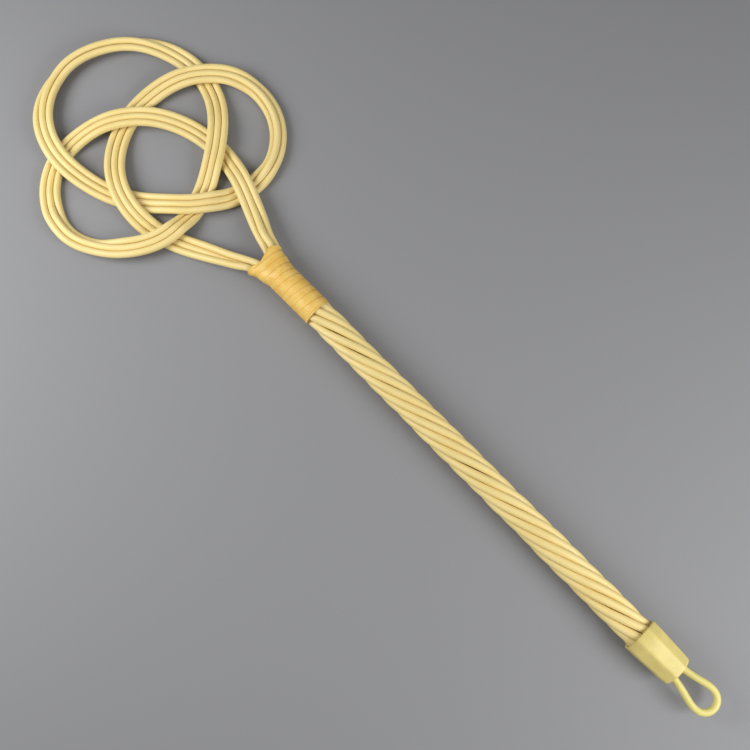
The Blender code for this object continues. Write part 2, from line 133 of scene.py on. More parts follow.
# The bundle's centre from the right leg to the left leg. A crossing is named with the level at
# which it is passed; every other point is a pair of shares.
head_path_shares = [
    (0.015, 0.105), (0.065, 0.150),
    ("right_leg_on_right_loop", "over"), (0.325, 0.380),
    ("right_leg_on_upright", "under"), (0.565, 0.310),
    ("arch_on_ring", "over"), (0.765, -0.355),
    ("arch_on_far_loop", "under"),
    (0.670, -0.903), (0.517, -1.003), (0.381, -0.817),
    ("left_loop_on_left_leg", "over"),
    ("left_loop_on_base", "under"),
    ("right_leg_on_upright", "over"), (0.506, 0.628),
    ("far_loop_on_right_loop", "under"),
    (0.800, 0.695), (0.930, 0.436), (0.994, -0.015), (0.919, -0.437),
    ("arch_on_far_loop", "over"), (0.615, -0.580),
    ("base_on_ring", "under"), (0.390, -0.275),
    ("left_loop_on_base", "over"),
    ("right_leg_on_right_loop", "under"),
    (0.235, 0.614), (0.345, 0.932), (0.520, 0.974),
    ("far_loop_on_right_loop", "over"), (0.703, 0.425),
    ("arch_on_ring", "under"), (0.605, -0.316),
    ("base_on_ring", "over"), (0.395, -0.490),
    ("left_loop_on_left_leg", "under"),
    (0.160, -0.300), (0.070, -0.200), (0.015, -0.125),
]

# How a side rod rolls round the middle rod along the path, as rows of (share of the path, share
# of a right angle): 0 beside the middle rod, 1 right below it, less than 0 above its side
roll_shares = {
    "outer": [(0.0, 0.50), (0.038, 0.0), (0.424, 0.0), (0.470, 0.84), (0.496, 0.84), (0.556, 0.0),
              (0.696, 0.0), (0.716, 0.37), (0.765, 0.37), (0.788, 0.0), (0.950, 0.0), (0.996, -0.56)],
    "inner": [(0.0, 0.42), (0.030, 0.0), (0.206, 0.0), (0.230, 0.62), (0.252, 0.62), (0.276, 0.0),
              (0.696, 0.0), (0.716, 0.50), (0.765, 0.50), (0.788, 0.0), (0.950, 0.0), (0.996, -0.56)],
}

# How far a side rod stands off the bundle, as rows of (share of the path, share of the rod pitch)
spread_shares = {
    "outer": [(0.0, 0.0), (0.012, 0.04), (0.030, 0.0), (0.365, 0.0), (0.400, 0.06), (0.424, 0.0),
              (0.840, 0.0), (0.870, 0.04), (0.900, 0.0)],
    "inner": [(0.0, 0.0), (0.190, 0.0), (0.206, 0.03), (0.235, 0.03), (0.262, 0.06), (0.284, 0.0),
              (0.424, 0.0), (0.466, 0.15), (0.500, 0.15), (0.550, 0.0),
              (0.740, 0.0), (0.780, 0.03), (0.840, 0.03), (0.870, 0.06), (0.900, 0.0)],
}

# Cross-sections of the six head rods in the neck, as shares of neck_rod_pitch from the axis
# (to the side, up), at the binding's edge and half way to the round handle
neck_edge_shares = {
    "right_inner": (1.04, -0.10), "right_middle": (1.96, 0.37), "right_outer": (2.55, -0.38),
    "left_inner": (-1.42, 0.30), "left_middle": (-1.98, -0.50), "left_outer": (-2.55, 0.28),
}
neck_half_way_shares = {
    "right_inner": (0.56, -0.82), "right_middle": (1.08, 0.75), "right_outer": (1.74, -0.03),
    "left_inner": (-0.92, 0.82), "left_middle": (-0.95, -0.82), "left_outer": (-1.80, 0.04),
}

neck_half_way_share = 0.54

# The tape's inner outline along the neck: share of neck_length, then half width, half height and
# middle's place to the side as shares of the handle's radius, and how square the outline is
tape_outline_shares = [
    (0.0, 1.58, 0.63, -0.02, 3.0), (0.54, 1.20, 0.73, -0.01, 2.4), (1.0, 1.02, 1.02, 0.0, 2.0),
]

# Teardrop of the hanging loop: share of its length past the cap, share of its half width
teardrop_shares = [(0.10, 0.54), (0.35, 0.725), (0.60, 0.965), (0.74, 1.0), (0.865, 0.87), (0.96, 0.53)]

# Where the dressed tape's first edge lies: place across the neck as a share of its half width,
# share of neck_length
tape_edge_shares = [
    (-1.0, 0.18), (-0.80, 0.15), (-0.35, 0.26), (0.12, 0.19), (0.35, 0.11), (0.50, 0.09), (0.65, 0.13),
    (0.80, 0.19), (1.0, 0.29),
]

# How finely the dressed tape is drawn, how far its outer edge stands off the neck's outline, how
# much deeper its covered edge lies, and the length that its pattern gives one turn
tape_steps_per_turn = 72
tape_columns = 8
tape_edge_stand = 0.0005
tape_covered_drop = 0.00026
tape_pattern_turn = 0.07

# How blunt the cap's eight corners are
cap_corner_share = 1.066
cap_corner_power = 70

# The cap's mouth, from the bore over the lip to the outside: how far in and how far off the bore as
# shares of half the wall, then roundness, then how far inside, which sets the painted shade in the mouth
cap_mouth_shares = [
    (2.0, 0.0, 1.0, 1.0), (1.0, 0.05, 1.0, 0.5), (0.3, 0.2, 0.8, 0.2), (0.0, 0.6, 0.4, 0.0),
    (0.3, 1.7, 0.0, 0.0), (1.0, 2.0, 0.0, 0.0),
]

# The gap between cap and strands as a share of rod_pitch, and the rings of the cap's end face as
# shares of its width
cap_bore_gap_share = 0.025
cap_face_shares = (0.7, 0.4, 0.12)

# How finely the dressed cap is drawn, and how round its end is
cap_faces_per_side = 20
cap_side_rings = 14
cap_edge_rings = 6
cap_end_roundness = 0.15

# Where rods, tape and cap read the noise, and how fast it changes there
noise_per_rod = 7.3
noise_per_axis = 31.7
slack_noise_per_turn = 1.3
slack_noise_row = (3.1, 0.4)
fold_noise_per_turn = 9.0
fold_noise_across = 1.2
fold_noise_row = 5.0
lip_noise_round = 2.2
lip_noise_row = 4.0
dent_noise_across = 160.0
dent_noise_along = 90.0

# Studio floor and the camera's sensor, which is in millimetres
floor_half_width = 4.0
floor_drop = 0.0002
sensor_width = 36.0

# How finely the rods' own points are set
bend_per_point = math.radians(11)
longest_step = 0.014
fine_step = 0.0003
bend_parts = 3
head_end_share = 0.006


# Centre lines

def smooth_step(value):
    """Ease from 0 to 1 with level ends."""
    value = min(max(value, 0.0), 1.0)
    return value * value * (3 - 2 * value)


def chord_stations(points):
    """Distance of each point from the first, along the straight lines between them."""
    chord = np.linalg.norm(np.diff(points, axis=0), axis=1)
    return np.concatenate([[0.0], np.cumsum(chord)])


def natural_spline(points, stations):
    """Coordinates, at the given stations, of the smoothest curve through points at their chord stations."""
    points = np.asarray(points, float)
    chord = np.linalg.norm(np.diff(points, axis=0), axis=1)
    knots = chord_stations(points)
    count = len(points)
    matrix = np.zeros((count, count))
    right = np.zeros(points.shape)
    matrix[0, 0] = matrix[-1, -1] = 1.0
    for i in range(1, count - 1):
        matrix[i, i - 1] = chord[i - 1]
        matrix[i, i] = 2 * (chord[i - 1] + chord[i])
        matrix[i, i + 1] = chord[i]
        right[i] = 6 * ((points[i + 1] - points[i]) / chord[i] - (points[i] - points[i - 1]) / chord[i - 1])
    bend = np.linalg.solve(matrix, right)
    stations = np.asarray(stations, float)
    piece = np.clip(np.searchsorted(knots, stations) - 1, 0, count - 2)
    step = chord[piece][:, None]
    before = (knots[piece + 1] - stations)[:, None]
    after = (stations - knots[piece])[:, None]
    return (bend[piece] * before ** 3 / (6 * step) + bend[piece + 1] * after ** 3 / (6 * step)
            + (points[piece] / step - bend[piece] * step / 6) * before
            + (points[piece + 1] / step - bend[piece + 1] * step / 6) * after)


def eased_table(table, place):
    """Read a table of (place, value...) rows, easing with level ends from one row to the next."""
    if place <= table[0][0]:
        return table[0][1:]
    for low, high in zip(table, table[1:]):
        if place <= high[0]:
            blend = smooth_step((place - low[0]) / (high[0] - low[0]))
            return tuple(a + (b - a) * blend for a, b in zip(low[1:], high[1:]))
    return table[-1][1:]


def strand_ring_radius(x):
    """Distance from the handle's axis to a strand's centre."""
    blend = min(max((x - ring_start) / (strand_end - ring_start), 0.0), 1.0)
    diameter = handle_diameter_at_neck + (handle_diameter_at_cap - handle_diameter_at_neck) * blend
    return diameter / 2 / (1 + strand_size_share)


def strand_turns(x):
    """Turns of the lay from the neck to x, starting gently."""
    run = max(x - ring_start, 0.0)
    if run < twist_ease_length:
        return run * run / (2 * twist_ease_length) / strand_lead
    return (run - twist_ease_length / 2) / strand_lead


def strand_angle(name, x):
    """Angle of a strand round the handle's axis at x."""
    place = first_strand_share + strand_place_shares[name] / strand_count
    return 2 * math.pi * (place - strand_turns(x))


def strand_point(name, x):
    """Centre of a strand at x."""
    angle = strand_angle(name, x)
    radius = strand_ring_radius(x)
    return (x, radius * math.cos(angle), axis_height + radius * math.sin(angle))


def strand_points(name, start, end):
    """A strand's centre line from start to end, evenly stepped along the handle."""
    step = strand_lead / strand_points_per_turn
    count = max(round(abs(end - start) / step), 1)
    return [strand_point(name, start + (end - start) * i / count) for i in range(count + 1)]


def head_plan_points():
    """The bundle's chosen points in plan, and which of them are crossings."""
    points = []
    passes = []
    for index, (first, second) in enumerate(head_path_shares):
        if isinstance(first, str):
            passes.append((index, first, second))
            first, second = crossing_shares[first]
        points.append((head_start_in_binding - first * head_length, second * head_half_width))
    return points, passes


def plan_direction(points, station):
    """Unit direction of the plan curve at a station."""
    pair = natural_spline(points, [station - fine_step, station + fine_step])
    step = pair[1] - pair[0]
    return step / np.linalg.norm(step)


def crossing_rows(points, passes, stations):
    """Rows of (station, shift per length to the left, half the level stretch, height) along the path."""
    directions = {}
    for index, name, level in passes:
        directions.setdefault(name, []).append(plan_direction(points, stations[index]))
    leg_heights = [axis_height + neck_edge_shares[name][1] * neck_rod_pitch
                   for name in ("right_middle", "left_middle")]
    rows = [(stations[0], 0.0, 0.0, leg_heights[0])]
    met = set()
    for index, name, level in passes:
        first, second = directions[name]
        own, other = (second, first) if name in met else (first, second)
        met.add(name)
        sine = float(own[0] * other[1] - own[1] * other[0])
        shift = float(np.dot(own, other)) / sine
        hold = rod_pitch / abs(sine) + crossing_hold_margin
        rows.append((stations[index], shift, hold, head_high if level == "over" else head_low))
    rows.append((stations[-1], 0.0, 0.0, leg_heights[1]))
    return rows


def weave_height(rows, station, side):
    """Height of the weave at a station, for a rod that lies to the left of the path by side."""
    table = []
    for place, shift, hold, height in rows:
        table += [(place + side * shift - hold, height), (place + side * shift + hold, height)]
    return eased_table(table, station)[0]


def side_rod_place(side, share):
    """A side rod's place beside the middle rod: how far to its own side, how far down, and its roll."""
    roll = eased_table(roll_shares[side], share)[0]
    spread = eased_table(spread_shares[side], share)[0]
    angle = math.pi / 2 * roll
    return rod_pitch * (math.cos(angle) + spread), rod_pitch * math.sin(angle), roll


def head_section(rows, share, station):
    """Each rod's place across the bundle at a station: how far to the left, and how high."""
    places = {which: side_rod_place(which, share) for which in ("outer", "inner")}
    middle_side = (places["outer"][0] - places["inner"][0]) / 2
    level = weave_height(rows, station, middle_side)
    middle_height = max(level, head_low + max(drop for away, drop, roll in places.values()))
    section = {"middle": (middle_side, middle_height)}
    for which, turn in (("outer", -1.0), ("inner", 1.0)):
        away, drop, roll = places[which]
        side = middle_side + turn * away
        ahead = (weave_height(rows, station, side) - level) * (1 - abs(roll))
        section[which] = (side, middle_height + ahead - drop)
    return section


def bend_angles(line):
    """How much a line turns at each of its inner points."""
    step = np.diff(line, axis=0)
    unit = step / np.linalg.norm(step, axis=1)[:, None]
    return np.arccos(np.clip(np.sum(unit[1:] * unit[:-1], axis=1), -1.0, 1.0))


def head_stations(points, rows, length):
    """Stations along the path, closer together where a rod bends, as shares of its length."""
    places = np.linspace(0.0, length, int(length / fine_step))
    plan = natural_spline(points, places)
    sections = [head_section(rows, place / length, place) for place in places]
    heights = {which: [section[which][1] for section in sections] for which in sections[0]}
    turns = [bend_angles(np.column_stack([plan, height])) for height in heights.values()]
    chosen = [head_end_share * length]
    bend = 0.0
    for place, angle in zip(places[1:-1], np.max(turns, axis=0)):
        if place <= chosen[0]:
            continue
        bend += angle
        if bend > bend_per_point or place - chosen[-1] > longest_step:
            chosen.append(place)
            bend = 0.0
    last = length * (1 - head_end_share)
    chosen = [place for place in chosen if place < last - longest_step / 3] + [last]
    return [place / length for place in chosen]


def head_rod_points():
    """Centre lines of the three rods through the head."""
    points, passes = head_plan_points()
    stations = chord_stations(points)
    length = float(stations[-1])
    rows = crossing_rows(points, passes, stations)
    rods = {"outer": [], "middle": [], "inner": []}
    shares = head_stations(points, rows, length)
    for share in shares:
        station = share * length
        plan = natural_spline(points, [station])[0]
        direction = plan_direction(points, station)
        left = np.array([-direction[1], direction[0]])
        for which, (side, height) in head_section(rows, share, station).items():
            place = plan + left * side
            rods[which].append((place[0], place[1], height))
    return rods


def neck_points(name):
    """A head rod's two chosen places in the neck, from the binding's edge towards the handle."""
    points = []
    for share, table in ((0.0, neck_edge_shares), (neck_half_way_share, neck_half_way_shares)):
        side, up = table[name]
        points.append((share * neck_length, side * neck_rod_pitch, axis_height + up * neck_rod_pitch))
    return points


def refined(knots, parts):
    """Stations at every knot, with the span after each knot cut into its number of equal parts."""
    stations = []
    for start, end, count in zip(knots, knots[1:], parts):
        stations += [start + (end - start) * k / count for k in range(count)]
    return stations + [knots[-1]]


def smooth_line(line, in_bend):
    """A line through all the points, finer in its bends."""
    parts = [bend_parts if in_bend(i) else 1 for i in range(len(line) - 1)]
    return natural_spline(line, refined(chord_stations(line), parts))


def rod_centre_line(which, head_points):
    """One head rod's whole centre line, cap to cap."""
    right = strand_points("right_" + which, strand_end, ring_start) + neck_points("right_" + which)[::-1]
    left = neck_points("left_" + which) + strand_points("left_" + which, ring_start, strand_end)
    enter = len(right) - 1
    leave = enter + len(head_points)
    in_neck = [enter - 2, enter - 1, enter, leave, leave + 1, leave + 2]
    return smooth_line(right + head_points + left, lambda i: i in in_neck)


def hanging_loop_centre_line():
    """The hanging loop's rod, from one end inside the cap round the loop to the other end."""
    half_width = (hanging_loop_width - loop_rod_diameter) / 2
    length = hanging_loop_length - loop_radius
    leg = [(x, loop_leg_spacing / 2, axis_height) for x in (cap_end - loop_leg_depth_in_cap, cap_end)]
    bow = [(cap_end + out * length, across * half_width, axis_height) for out, across in teardrop_shares]
    tip = [(cap_end + length, 0.0, axis_height)]
    back = [(x, -y, z) for x, y, z in (leg + bow)[::-1]]
    return smooth_line(leg + bow + tip + back, lambda i: 1 <= i <= 2 * len(bow) + 2)


def all_centre_lines():
    """Every rod's centre line, moved as the CAD model is, so that the object's middle is on the origin."""
    head = head_rod_points()
    lines = {"head_rod_" + which: rod_centre_line(which, points) for which, points in head.items()}
    lines["hanging_loop"] = hanging_loop_centre_line()
    points = np.concatenate(list(lines.values()))
    middle = (points.min(axis=0) + points.max(axis=0)) / 2
    shift = np.array([middle[0], middle[1], 0.0])
    for short in ("short_lower", "short_upper"):
        line = strand_points(short, ring_start + core_set_back, strand_end)
        lines["handle_strand_" + short] = np.array(line)
    return {name: line - shift for name, line in lines.items()}, shift


centre_lines, row_shift = all_centre_lines()


def fine_line(line, step):
    """A smooth line through all the points of a centre line, and its distance from the start."""
    knots = chord_stations(line)
    parts = [max(math.ceil((end - start) / step), 1) for start, end in zip(knots, knots[1:])]
    stations = refined(knots, parts)
    return natural_spline(line, stations), np.array(stations)


# Shader nodes

class Wire:
    """A node's output. Arithmetic on it adds Math nodes."""

    def __init__(self, graph, socket):
        self.graph = graph
        self.socket = socket

    def joined(self, operation, first, second):
        """The output of a Math node."""
        return self.graph.add("ShaderNodeMath", {"operation": operation}, {0: first, 1: second})

    def __add__(self, other):
        return self.joined("ADD", self, other)

    def __radd__(self, other):
        return self.joined("ADD", other, self)

    def __sub__(self, other):
        return self.joined("SUBTRACT", self, other)

    def __rsub__(self, other):
        return self.joined("SUBTRACT", other, self)

    def __mul__(self, other):
        return self.joined("MULTIPLY", self, other)

    def __rmul__(self, other):
        return self.joined("MULTIPLY", other, self)


class Graph:
    """The nodes of one material."""

    def __init__(self, name):
        self.material = bpy.data.materials.new(name)
        self.material.use_nodes = True
        self.tree = self.material.node_tree
        self.shader = self.tree.nodes["Principled BSDF"]

    def feed(self, socket, value):
        """Link a wire to a socket, or set the socket's own value."""
        if isinstance(value, Wire):
            self.tree.links.new(value.socket, socket)
        else:
            socket.default_value = value

    def add(self, kind, settings=None, sockets=None, output=0):
        """Add a node: its settings first, then the values or links of its sockets."""
        node = self.tree.nodes.new(kind)
        for name, value in (settings or {}).items():
            setattr(node, name, value)
        for name, value in (sockets or {}).items():
            self.feed(node.inputs[name], value)
        return Wire(self, node.outputs[output])

    def mix(self, factor, first, second):
        """Mix two colours."""
        settings = {"data_type": "RGBA", "blend_type": "MIX", "clamp_factor": True}
        return self.add("ShaderNodeMix", settings, {0: factor, 6: first, 7: second}, 2)

    def noise(self, place, scale, detail=3.0, roughness=0.6, distortion=0.0):
        """Noise from 0 to 1 at a place."""
        sockets = {"Vector": place, "Scale": scale, "Detail": detail, "Roughness": roughness,
                   "Distortion": distortion}
        return self.add("ShaderNodeTexNoise", {"noise_dimensions": "3D"}, sockets, "Fac")

    def ramp(self, value, low, high):
        """0 below low, 1 above high, eased between."""
        sockets = {"Value": value, "From Min": low, "From Max": high}
        return self.add("ShaderNodeMapRange", {"interpolation_type": "SMOOTHSTEP"}, sockets)

    def attribute(self, name, output):
        """A named attribute of the piece."""
        return self.add("ShaderNodeAttribute", {"attribute_name": name}, None, output)

    def stretched(self, place, scale):
        """A place with its axes stretched."""
        return self.add("ShaderNodeMapping", {"vector_type": "POINT"}, {"Vector": place, "Scale": scale})

    def object_place(self):
        """Object coordinates."""
        return self.add("ShaderNodeTexCoord", None, None, "Object")

    def bump(self, height, distance, strength=0.5):
        """A normal that follows a height."""
        sockets = {"Height": height, "Distance": distance, "Strength": strength}
        return self.add("ShaderNodeBump", None, sockets, "Normal")

    def finish(self, values):
        """Set or link the shader's sockets."""
        for name, value in values.items():
            self.feed(self.shader.inputs[name], value)
        return self.material


def colour(value):
    """A colour of the settings with its alpha."""
    return (value[0], value[1], value[2], 1.0)


def rod_plastic(name, light, warm, crease, deep):
    """Cane-like moulded plastic: fine lengthwise streaks, soft gloss, painted shade and brown dirt where
    rods meet, and dark painted shade in open clefts.
    """
    graph = Graph(name)
    straight = graph.attribute("straight", "Vector")
    groove_shade_and_dirt = graph.attribute("groove_shade_and_dirt", "Fac")
    cleft_shade = graph.attribute("cleft_shade", "Fac")
    place = graph.object_place()
    streaks = graph.noise(graph.stretched(straight, (1.0, 1.0, 0.03)), scale=1400.0, detail=4.0)
    broad = graph.noise(graph.stretched(straight, (1.0, 1.0, 0.16)), scale=240.0, roughness=0.5)
    cloud = graph.noise(place, scale=34.0, detail=2.0, roughness=0.5)
    specks = graph.noise(straight, scale=2300.0, detail=2.0, roughness=0.5)
    shade = graph.ramp(streaks * 0.40 + broad * 0.35 + cloud * 0.40, 0.42, 0.80)
    base = graph.mix(shade, colour(light), colour(warm))
    # Painted shade and brown dirt where the next rod is close
    base = graph.mix(graph.ramp(groove_shade_and_dirt + (broad - 0.5) * 0.30, 0.10, 1.0) * 0.85, base, colour(crease))
    # Dark painted shade where the gap between strands of the handle opens
    base = graph.mix(graph.ramp(cleft_shade, 0.35, 0.95), base, colour(deep))
    base = graph.mix(graph.ramp(specks, 0.72, 0.84) * 0.12, base, colour(crease))
    height = streaks * 0.4 + broad * 0.9 + specks * 0.12
    rough = 0.40 + streaks * 0.12 + groove_shade_and_dirt * 0.20
    return graph.finish({
        "Base Color": base, "Roughness": rough, "Metallic": 0.0, "IOR": 1.46,
        "Normal": graph.bump(height, distance=0.00016),
    })


def tape_vinyl(name, light, orange, deep):
    """Stretched vinyl tape: soft gloss, creases along the turns, thin darker edges."""
    graph = Graph(name)
    strip = graph.attribute("strip", "Vector")
    lap = graph.attribute("lap", "Fac")
    crease = graph.noise(graph.stretched(strip, (0.30, 1.0, 1.0)), scale=330.0, roughness=0.5,
                         distortion=0.7)
    fine = graph.noise(strip, scale=1500.0)
    cloud = graph.noise(graph.object_place(), scale=120.0)
    shade = graph.ramp(crease * 0.4 + cloud * 0.6, 0.40, 0.60)
    base = graph.mix(shade, colour(light), colour(orange))
    base = graph.mix(graph.ramp(lap, 0.15, 1.0) * 0.55, base, colour(deep))
    height = crease + fine * 0.10
    rough = 0.36 + crease * 0.14
    return graph.finish({
        "Base Color": base, "Roughness": rough, "Metallic": 0.0, "IOR": 1.48,
        "Normal": graph.bump(height, distance=0.0005, strength=0.6),
    })


def cap_plastic(name, light, shaded, mouth_shade):
    """Smooth moulded plastic with a faint mottle, scuffs, painted shade that grows deeper inside the mouth
    and a soft gloss.
    """
    graph = Graph(name)
    place = graph.object_place()
    inside = graph.attribute("inside", "Fac")
    cloud = graph.noise(place, scale=90.0, roughness=0.5)
    fine = graph.noise(place, scale=900.0)
    scuffs = graph.noise(graph.stretched(place, (1.0, 0.15, 0.15)), scale=1300.0)
    base = graph.mix(graph.ramp(cloud * 0.7 + fine * 0.3, 0.38, 0.68), colour(light), colour(shaded))
    # Painted shade, darker the deeper inside the mouth
    base = graph.mix(graph.ramp(inside + (cloud - 0.5) * 0.3, 0.10, 0.95), base, colour(mouth_shade))
    height = fine * 0.3 + cloud * 1.4 + scuffs * 0.1
    rough = 0.34 + fine * 0.14
    return graph.finish({
        "Base Color": base, "Roughness": rough, "Metallic": 0.0, "IOR": 1.48,
        "Normal": graph.bump(height, distance=0.0003),
    })


def core_wood(name, light, dark):
    """Straight-grained stick wood."""
    graph = Graph(name)
    place = graph.stretched(graph.object_place(), (0.06, 1.0, 1.0))
    grain = graph.noise(place, scale=700.0, detail=4.0, distortion=0.4)
    return graph.finish({
        "Base Color": graph.mix(graph.ramp(grain, 0.3, 0.7), colour(light), colour(dark)),
        "Roughness": 0.6 + grain * 0.2, "Metallic": 0.0,
        "Normal": graph.bump(grain, distance=0.0003),
    })


def floor_paper(name, pale):
    """A plain matt sheet of studio paper."""
    graph = Graph(name)
    fibre = graph.noise(graph.object_place(), scale=700.0)
    low = tuple(channel * 0.97 for channel in pale)
    return graph.finish({
        "Base Color": graph.mix(fibre, colour(low), colour(pale)),
        "Roughness": 0.85, "Metallic": 0.0, "Specular IOR Level": 0.2,
    })


# Settings

def length_setting(name, description, default):
    """A length in the settings."""
    return bpy.props.FloatProperty(name=name, description=description, default=default,
                                   subtype="DISTANCE", unit="LENGTH")


def colour_setting(name, description, default):
    """A colour in the settings."""
    return bpy.props.FloatVectorProperty(name=name, description=description, default=default,
                                         subtype="COLOR", min=0.0, max=1.0)


def place_setting(name, description, default):
    """A place in the settings, from the middle of the beater."""
    return bpy.props.FloatVectorProperty(name=name, description=description, default=default,
                                         subtype="TRANSLATION", unit="LENGTH")


def direction_setting(name, description, default):
    """A direction in the settings."""
    return bpy.props.FloatVectorProperty(name=name, description=description, default=default,
                                         subtype="DIRECTION")


def power_setting(name, description, default):
    """A lamp's power in the settings."""
    return bpy.props.FloatProperty(name=name, description=description, default=default, min=0.0,
                                   subtype="POWER", unit="POWER")


class BEATER_PG_sizes(bpy.types.PropertyGroup):
    """Fineness and small forms of the dressed pieces."""

    rod_sides: bpy.props.IntProperty(
        name="Rod Sides", description="Faces round each rod", default=18, min=8, max=32)
    rod_step: length_setting("Rod Step", "Length of one ring of faces along a rod", 0.0026)
    rod_wander: length_setting("Rod Wander", "How far a rod of the head strays", 0.00013)
    strand_wander: length_setting("Strand Wander", "The same for the strands of the handle", 0.0006)
    wander_length: length_setting("Wander Length", "Distance over which a rod strays", 0.042)
    wander_seed: bpy.props.FloatProperty(
        name="Wander Seed", description="Picks one of all courses that the rods can stray to",
        default=26.56, min=0.0)
    # The painted shade and dirt of the grooves begin at this gap to the next rod
    groove_reach: length_setting("Groove Reach", "Gap to the next rod at which dirt begins", 0.0011)
    # The painted shade in an open gap between strands is full at this width
    cleft_width: length_setting("Cleft Width", "Gap between strands that shows dark", 0.0010)
    tape_lap: length_setting("Tape Lap", "How far one turn of tape covers the turn before", 0.0036)
    tape_slack: length_setting("Tape Slack", "Unevenness of the distance between turns", 0.0028)
    tape_turn: length_setting("Tape Turn", "Distance from one turn of tape to the next", 0.0067)
    tape_edge: length_setting("Tape Edge", "Width of the darker line at each turn's edge", 0.0008)
    tape_fold: length_setting("Tape Fold", "Height of the small folds across the tape", 0.00012)
    tape_wall: length_setting("Tape Thickness", "Thickness of the tape", 0.00018)
    cap_end_round: length_setting("Cap End Rounding", "Radius of the edge of the cap's end", 0.0022)
    cap_end_dome: length_setting("Cap End Dome", "How far the middle of the cap's end stands out", 0.0005)
    cap_lip_reach: length_setting("Cap Lip Reach", "How far the mouth reaches out on top", 0.0018)
    cap_lip_wave: length_setting("Cap Lip Wave", "Unevenness of the cap's mouth", 0.0005)
    cap_dent_share: bpy.props.FloatProperty(
        name="Cap Dents", description="Depth of the dents as a share of the cap's radius",
        default=0.006, min=0.0, max=0.1, subtype="FACTOR")


class BEATER_PG_colours(bpy.types.PropertyGroup):
    """Colours of the plastics, the tape and the studio."""

    rod_light: colour_setting("Rod Light", "Clean cream plastic of the rods", (0.84, 0.68, 0.30))
    rod_warm: colour_setting("Rod Warm", "Aged streaks in the cream plastic", (0.78, 0.60, 0.22))
    # Brown painted shade and dirt where rods touch, also used as painted shade inside the cap's mouth
    rod_groove: colour_setting("Rod Groove", "Brown dirt where rods touch", (0.66, 0.48, 0.16))
    # Dark painted shade in open clefts between the strands of the handle
    rod_cleft: colour_setting("Rod Cleft", "Dark dirt in open clefts of the handle", (0.16, 0.06, 0.012))
    loop_light: colour_setting("Loop Light", "Greenish cream plastic of the loop", (0.725, 0.645, 0.215))
    loop_warm: colour_setting("Loop Warm", "Aged streaks in the loop's plastic", (0.65, 0.57, 0.19))
    tape_light: colour_setting("Tape Light", "Stretched, paler tape", (0.82, 0.56, 0.15))
    tape_orange: colour_setting("Tape Orange", "Tape at full thickness", (0.78, 0.47, 0.09))
    tape_deep: colour_setting("Tape Deep", "Glue and dirt at a turn's edge", (0.73, 0.43, 0.085))
    cap_light: colour_setting("Cap Light", "Pale yellow plastic of the cap", (0.71, 0.59, 0.20))
    cap_shaded: colour_setting("Cap Shaded", "Mottle in the cap's plastic", (0.63, 0.52, 0.17))
    wood_light: colour_setting("Wood Light", "Light grain of the core", (0.30, 0.15, 0.05))
    wood_dark: colour_setting("Wood Dark", "Dark grain of the core", (0.16, 0.07, 0.02))
    floor: colour_setting("Floor", "Pale grey paper under the beater", (0.27, 0.272, 0.285))
    sky: colour_setting("Sky", "Tint of the even light from all round", (1.0, 0.99, 0.97))


class BEATER_PG_studio(bpy.types.PropertyGroup):
    """Lamps and camera."""

    camera_place: place_setting("Camera Place", "Where the camera stands", (0.11022, -0.09615, 0.70292))
    camera_back: direction_setting("Camera Back", "From the beater to the camera",
                                   (0.13627, -0.13356, 0.98163))
    camera_right: direction_setting("Camera Right", "The direction of the picture's right side",
                                    (0.69997, 0.71418, 0.0))
    focal_length: bpy.props.FloatProperty(
        name="Focal Length", description="Focal length of the lens, in millimetres",
        default=42.43, min=10.0, max=200.0)
    key_place: place_setting("Key Place", "Where the soft lamp beside the head hangs", (-0.5, -0.4, 0.45))
    key_power: power_setting("Key Power", "Power of the soft lamp beside the head", 4.3)
    fill_place: place_setting("Fill Place", "Where the soft lamp beyond the cap hangs", (0.72, 0.2, 0.5))
    fill_power: power_setting("Fill Power", "Power of the soft lamp beyond the cap", 5.0)
    lamp_width: length_setting("Lamp Width", "Diameter of both lamps", 0.5)
    sky_strength: bpy.props.FloatProperty(
        name="Sky Strength", description="Strength of the even light from all round",
        default=0.355, min=0.0, max=4.0)


# Meshes

def turning_frames(line):
    """One frame at each point of a line, turned as little as possible from one to the next."""
    tangents = np.gradient(line, axis=0)
    tangents /= np.linalg.norm(tangents, axis=1)[:, None]
    frames = []
    across = Vector(tangents[0]).orthogonal().normalized()
    before = Vector(tangents[0])
    for point, tangent in zip(line, tangents):
        along = Vector(tangent)
        across.rotate(before.rotation_difference(along))
        across = (across - along * across.dot(along)).normalized()
        other = along.cross(across)
        matrix = Matrix((across, other, along)).transposed().to_4x4()
        matrix.translation = Vector(point)
        frames.append(matrix)
        before = along
    return frames


def new_mesh_object(name, body, material):
    """Link a finished mesh as a smooth piece."""
    mesh = bpy.data.meshes.new(name)
    body.to_mesh(mesh)
    body.free()
    mesh.materials.append(material)
    mesh.shade_smooth()
    item = bpy.data.objects.new(name, mesh)
    bpy.context.scene.collection.objects.link(item)
    return item


def extruded(body, rim):
    """Extrude a row of edges. Gives the new vertices and the new row."""
    grown = bmesh.ops.extrude_edge_only(body, edges=rim)["geom"]
    verts = [item for item in grown if isinstance(item, bmesh.types.BMVert)]
    new = set(verts)
    rim = [item for item in grown if isinstance(item, bmesh.types.BMEdge) and set(item.verts) <= new]
    return verts, rim


